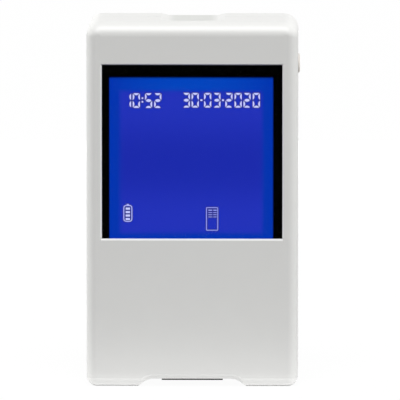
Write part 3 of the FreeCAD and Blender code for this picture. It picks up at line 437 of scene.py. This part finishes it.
dot_pitch = 0.8 * mm
light_guide_plastic, wire = new_finish("light_guide_plastic")
dots = wire.node(
    "ShaderNodeTexVoronoi",
    {"feature": "DISTANCE_TO_EDGE"},
    {"Vector": on_piece(wire), "Scale": 1 / dot_pitch},
)
etched = step_up(dots, 0.28, 0.34)
surface(wire, {
    "Base Color": between(wire, etched, shade("dfe6f2"), shade("ffffff")),
    "Roughness": 0.08 + 0.5 * etched,
})
dress(light_guide_plastic, "light_guide")

lamp_plastic, wire = new_finish("lamp_plastic")
surface(wire, {
    "Base Color": between(wire, speckle(wire, 0.8 * mm), shade("f6e88a"), shade("fff6c4")),
    "Roughness": 0.3,
})
dress(lamp_plastic, "display_lamps", "chip_lamps")


def striped(wire, pitch, narrow, wide, ground, line):
    """Upright stripes of one colour on another, a pitch apart."""
    pitch_at_scale_one = 0.314
    waves = wire.node(
        "ShaderNodeTexWave",
        {"bands_direction": "X"},
        {"Vector": on_piece(wire), "Scale": pitch_at_scale_one / pitch},
        "Fac",
    )
    return between(wire, step_up(waves, narrow, wide), shade(ground), shade(line))


contact_rubber, wire = new_finish("contact_rubber")
surface(wire, {
    "Base Color": striped(wire, 0.4 * mm, 0.4, 0.6, "e8a6a0", "1a1a1a"),
    "Roughness": 0.75,
})
dress(contact_rubber, "contact_strip")

# The display shows the time, the date, a full battery and a test chip. The lens-shaped segments of the
# figures let the lamps' light through, and round each mark lies a thin painted shadow, the shade that the
# mark casts on the lit layers behind it. The measures below are in millimetres, across and up the display.
figure_width, figure_height = 2.22, 4.55
level_length, level_height = 1.7, 0.64
upright_length, upright_width = 1.92, 0.54
middle_height = 0.92
time_base, date_base = 85.88, 86.0
time_figures = [("1", -21.0), ("0", -18.29), ("5", -14.53), ("2", -11.7)]
date_figures = [
    ("3", -2.9), ("0", -0.2), ("0", 3.64), ("3", 6.48),
    ("2", 10.17), ("0", 13.0), ("2", 15.74), ("0", 18.6),
]
segments_of = {"0": "abcdef", "1": "bc", "2": "abedgh", "3": "abcdgh", "5": "acdfgh"}


def half_lens(marks, length, height, turn, across, up):
    """Adds a plate between a chord, whose middle is at this place, and an arc on the side of the turn."""
    radius = (length * length / 4 + height * height) / (2 * height)
    plate = bmesh.new()
    bmesh.ops.create_circle(plate, cap_ends=True, segments=96, radius=radius)
    bmesh.ops.translate(plate, verts=plate.verts, vec=(0, height - radius, 0))
    whole = plate.verts[:] + plate.edges[:] + plate.faces[:]
    bmesh.ops.bisect_plane(plate, geom=whole, plane_co=(0, 0, 0), plane_no=(0, -1, 0), clear_outer=True)
    bmesh.ops.rotate(plate, verts=plate.verts, matrix=Matrix.Rotation(turn, 3, "Z"))
    bmesh.ops.translate(plate, verts=plate.verts, vec=(across, up, 0))
    cut = bpy.data.meshes.new("cut_plate")
    plate.to_mesh(cut)
    plate.free()
    marks.from_mesh(cut)
    bpy.data.meshes.remove(cut)


def figure(marks, sign, left, base, spread):
    """Adds one figure, whose segments have straight outer edges, all made wider by the spread."""
    middle = left + figure_width / 2
    right = left + figure_width
    top = base + figure_height
    half_way = base + figure_height / 2
    level = level_length + 2 * spread, level_height + 2 * spread
    bulge = level_length + 2 * spread, middle_height / 2 + spread
    upright = upright_length + 2 * spread, upright_width + 2 * spread
    high = half_way + figure_height / 4
    low = half_way - figure_height / 4
    segments = {
        "a": (*level, math.pi, middle, top + spread),
        "b": (*upright, math.pi / 2, right + spread, high),
        "c": (*upright, math.pi / 2, right + spread, low),
        "d": (*level, 0.0, middle, base - spread),
        "e": (*upright, -math.pi / 2, left - spread, low),
        "f": (*upright, -math.pi / 2, left - spread, high),
        "g": (*bulge, 0.0, middle, half_way),
        "h": (*bulge, math.pi, middle, half_way),
    }
    for letter in segments_of[sign]:
        half_lens(marks, *segments[letter])


def bar(marks, left, right, low, high, corner, spread):
    """Adds a flat bar between four edges, with rounded corners, made wider by the spread."""
    grid = bmesh.ops.create_grid(marks, x_segments=1, y_segments=1, size=0.5)["verts"]
    bmesh.ops.scale(marks, verts=grid, vec=(right - left + 2 * spread, high - low + 2 * spread, 1))
    bmesh.ops.translate(marks, verts=grid, vec=((left + right) / 2, (low + high) / 2, 0))
    bmesh.ops.bevel(
        marks, geom=grid, offset=corner + spread, affect="VERTICES", segments=5, profile=0.5, material=-1
    )


def level_bar(marks, left, right, up, half_height, corner, spread):
    """Adds a bar whose middle is at this height."""
    bar(marks, left, right, up - half_height, up + half_height, corner, spread)


colon_left, colon_right = -15.58, -15.02
colon_heights = (1.9, 3.0)
dot_half_height = 0.27
dot_corner = 0.2
dash_lefts = (2.5, 9.13)
dash_length = 0.66
dash_rise = 2.3
dash_corner = 0.15


def clock_marks(spread):
    """The time and the date, with the colon's dots and the dashes, all made wider by the spread."""
    marks = bmesh.new()
    for sign, left in time_figures:
        figure(marks, sign, left, time_base, spread)
    for sign, left in date_figures:
        figure(marks, sign, left, date_base, spread)
    for height in colon_heights:
        up = time_base + height
        level_bar(marks, colon_left, colon_right, up, dot_half_height, dot_corner, spread)
    for left in dash_lefts:
        up = date_base + dash_rise
        level_bar(marks, left, left + dash_length, up, dot_half_height, dash_corner, spread)
    return marks


def outline(marks, left, right, low, high, corner, line, spread):
    """Adds a frame of one line width round a rounded rectangle."""
    before = set(marks.faces)
    bar(marks, left, right, low, high, corner, spread)
    plate = [face for face in marks.faces if face not in before]
    thick = line + 2 * spread
    bmesh.ops.inset_region(marks, faces=plate, thickness=thick, use_boundary=True, use_even_offset=True)
    bmesh.ops.delete(marks, geom=plate, context="FACES_ONLY")


battery_left, battery_right = -21.2, -18.42
battery_low, battery_high = 50.65, 55.89
battery_corner = 0.9
battery_line = 0.32
cap_left, cap_right = -20.18, -19.44
cap_height = 0.32
cap_corner = 0.1
charge_left, charge_right = -20.48, -19.14
charge_heights = (51.53, 52.6, 53.67, 54.74)
charge_half_height = 0.32
charge_corner = 0.08


def battery_marks(spread):
    """An upright battery with a cap."""
    marks = bmesh.new()
    sides = battery_left, battery_right, battery_low, battery_high
    outline(marks, *sides, battery_corner, battery_line, spread)
    bar(marks, cap_left, cap_right, battery_high, battery_high + cap_height, cap_corner, spread)
    return marks


def charge_marks(spread):
    """The four bars of a full charge."""
    marks = bmesh.new()
    for up in charge_heights:
        level_bar(marks, charge_left, charge_right, up, charge_half_height, charge_corner, spread)
    return marks


chip_left, chip_right = 4.24, 8.0
chip_low, chip_high = 47.95, 55.24
chip_corner = 0.35
chip_line = 0.3
chip_rows = ((54.28, 0.2), (53.54, 0.13), (52.89, 0.13), (52.21, 0.13))
chip_columns = ((4.98, 6.17), (6.48, 7.53))
row_corner = 0.05


def chip_marks(spread):
    """The test chip: a long outline with rows of short bars near its upper end."""
    marks = bmesh.new()
    outline(marks, chip_left, chip_right, chip_low, chip_high, chip_corner, chip_line, spread)
    for up, half_height in chip_rows:
        for left, right in chip_columns:
            level_bar(marks, left, right, up, half_height, row_corner, spread)
    return marks


def lit_mark(name, low, high, strength):
    """A mark on the display that lets the lamps' light through, a little unevenly."""
    material, wire = new_finish(name)
    surface(wire, {
        "Base Color": shade("20203a"),
        "Roughness": 0.3,
        "Specular IOR Level": 0.0,
        "Emission Color": between(wire, speckle(wire, 1.1 * mm), shade(low), shade(high)),
        "Emission Strength": strength,
    })
    return material


def stand_up(marks, name, front, thickness, finish):
    """Turns flat marks upright, gives them a thickness and lays them on the display's glass."""
    bmesh.ops.rotate(marks, verts=marks.verts, matrix=Matrix.Rotation(math.pi / 2, 3, "X"))
    bmesh.ops.solidify(marks, geom=marks.faces, thickness=thickness / mm)
    bmesh.ops.recalc_face_normals(marks, faces=marks.faces)
    bmesh.ops.scale(marks, verts=marks.verts, vec=(mm, mm, mm))
    bmesh.ops.translate(marks, verts=marks.verts, vec=(0, front, 0))
    data = bpy.data.meshes.new(name)
    marks.to_mesh(data)
    marks.free()
    data.materials.append(finish)
    piece = bpy.data.objects.new(name, data)
    bpy.context.scene.collection.objects.link(piece)
    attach(piece, "case")


# Each mark's painted shadow is a dim blue sheet a little wider than the mark, laid between it and the
# glass.
shadow_spread = 0.2
shadow_thickness = 0.01 * mm
mark_thickness = 0.02 * mm
glass_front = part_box("display_front_glass")[0].y
shadow_front = glass_front - shadow_thickness
mark_front = shadow_front - mark_thickness

mark_shadow = lit_mark("mark_shadow", "151b7e", "181f85", 1.0)
stand_up(clock_marks(shadow_spread), "clock_shadows", shadow_front, shadow_thickness, mark_shadow)
stand_up(battery_marks(shadow_spread), "battery_shadows", shadow_front, shadow_thickness, mark_shadow)
stand_up(charge_marks(shadow_spread), "charge_shadows", shadow_front, shadow_thickness, mark_shadow)
stand_up(chip_marks(shadow_spread), "chip_shadows", shadow_front, shadow_thickness, mark_shadow)
clock_light = lit_mark("clock_light", "b9bdff", "d8deff", 1.1)
stand_up(clock_marks(0.0), "clock_figures", mark_front, mark_thickness, clock_light)
stand_up(charge_marks(0.0), "charge_sign", mark_front, mark_thickness, clock_light)
battery_light = lit_mark("battery_light", "a8aeff", "bcc1ff", 1.05)
stand_up(battery_marks(0.0), "battery_sign", mark_front, mark_thickness, battery_light)
chip_light = lit_mark("chip_light", "8f98f4", "a4abfa", 1.0)
stand_up(chip_marks(0.0), "chip_sign", mark_front, mark_thickness, chip_light)

# The main board is green fibreglass with copper tracks under its lacquer. It carries the black resin
# chips, a steel crystal can, the clock's coin cell in its holder, a sounder and the two side switches.
track_pitch = 2.4 * mm
track_gap = 0.04
circuit_board, wire = new_finish("circuit_board")
tracks = wire.node(
    "ShaderNodeTexBrick",
    {"offset": 0.5},
    {
        "Vector": on_piece(wire),
        "Scale": 1 / track_pitch,
        "Mortar Size": track_gap,
        "Color1": grey(1.0),
        "Color2": grey(1.0),
        "Mortar": grey(0.0),
    },
    "Fac",
)
surface(wire, {
    "Base Color": between(wire, tracks, shade("0f5a34"), shade("2b7d4d")),
    "Roughness": 0.32 + 0.1 * speckle(wire, 1 * mm),
    "Normal": relief(wire, tracks, 0.03 * mm),
})
dress(circuit_board, "main_board", "chip_lamp_board", "sensor_board")

chip_resin = moulded_plastic("chip_resin", "232325", "1b1b1d", 0.55, 0.08 * mm, 0.004 * mm)
dress(chip_resin, "processor_chip", "memory_chips", "power_chip", "sounder")


def drawn_metal(name, light, dark, roughness, grain):
    """Metal with the fine uneven shine of drawn or plated sheet."""
    material, wire = new_finish(name)
    shine = speckle(wire, grain, 3.0)
    surface(wire, {
        "Base Color": between(wire, shine, shade(dark), shade(light)),
        "Metallic": 1.0,
        "Roughness": roughness - 0.06 + 0.12 * shine,
        "Normal": relief(wire, shine, 0.002 * mm),
    })
    return material


can_steel = drawn_metal("can_steel", "d4d4d2", "bdbdbb", 0.3, 0.6 * mm)
dress(can_steel, "clock_crystal", "clock_cell", "usb_shell")

holder_plastic = moulded_plastic("holder_plastic", "d9d3c2", "cdc6b4", 0.5, 0.12 * mm, 0.003 * mm)
dress(holder_plastic, "cell_holder", "right_switch", "left_switch", "contact_block")

stem_plastic = moulded_plastic("stem_plastic", "2c2c2e", "242426", 0.45, 0.1 * mm, 0.002 * mm)
dress(stem_plastic, "right_switch_stem", "left_switch_stem", "ribbon_sockets")

# A button in each side near the top is moulded in a slightly warmer and smoother white. It presses its
# switch through a stem, and a flange behind the wall keeps it in.
button_plastic = moulded_plastic("button_plastic", "e9e4dd", "e5e0d9", 0.36, 0.18 * mm, 0.002 * mm)
dress(button_plastic, "right_button", "left_button")

# Behind the arch at the foot, a dark guide takes the test chip. The reader behind it looks at the chip
# through a lens, and a ribbon cable joins it to the main board.
guide_plastic = moulded_plastic("guide_plastic", "2e2e2f", "28282a", 0.45, 0.15 * mm, 0.002 * mm)
dress(guide_plastic, "chip_guide_front", "chip_guide_rear")

lens_glass, wire = new_finish("lens_glass")
coating = speckle(wire, 2.5 * mm)
surface(wire, {
    "Base Color": between(wire, coating, shade("1c2440"), shade("3c2a58")),
    "Roughness": 0.03 + 0.04 * coating,
})
dress(lens_glass, "sensor_lens")

cell_width = 0.2 * mm
sensor_face, wire = new_finish("sensor_face")
cells = wire.node(
    "ShaderNodeTexChecker",
    {},
    {
        "Vector": on_piece(wire),
        "Scale": 1 / cell_width,
        "Color1": shade("2a2438"),
        "Color2": shade("35404a"),
    },
)
surface(wire, {"Base Color": cells, "Roughness": 0.2})
dress(sensor_face, "image_sensor")

ribbon_film, wire = new_finish("ribbon_film")
surface(wire, {
    "Base Color": striped(wire, 1.0 * mm, 0.35, 0.55, "a8641a", "c98a35"),
    "Roughness": 0.3,
})
dress(ribbon_film, "ribbon_cable")

# The battery pack lies in its bay in the back, in a sleeve of shrunk film. Three gold-plated strips on a
# block of the main board press on its upper end and take its current.
crease_size = 14 * mm
battery_wrap, wire = new_finish("battery_wrap")
creases = speckle(wire, crease_size)
surface(wire, {
    "Base Color": between(wire, creases, shade("3d4045"), shade("454950")),
    "Roughness": 0.26 + 0.08 * creases,
    "Normal": relief(wire, creases, 0.06 * mm),
})
dress(battery_wrap, "battery_pack")

contact_gold = drawn_metal("contact_gold", "f0d080", "dcb55e", 0.22, 0.4 * mm)
dress(contact_gold, "battery_contacts")

# The case, the main board and the reader are held by small steel screws with cross slots, which cut their
# own threads in the plastic.
screw_steel = drawn_metal("screw_steel", "b4b5b6", "9b9c9e", 0.32, 0.3 * mm)
dress(screw_steel, "case_screws", "board_screws", "reader_screws")
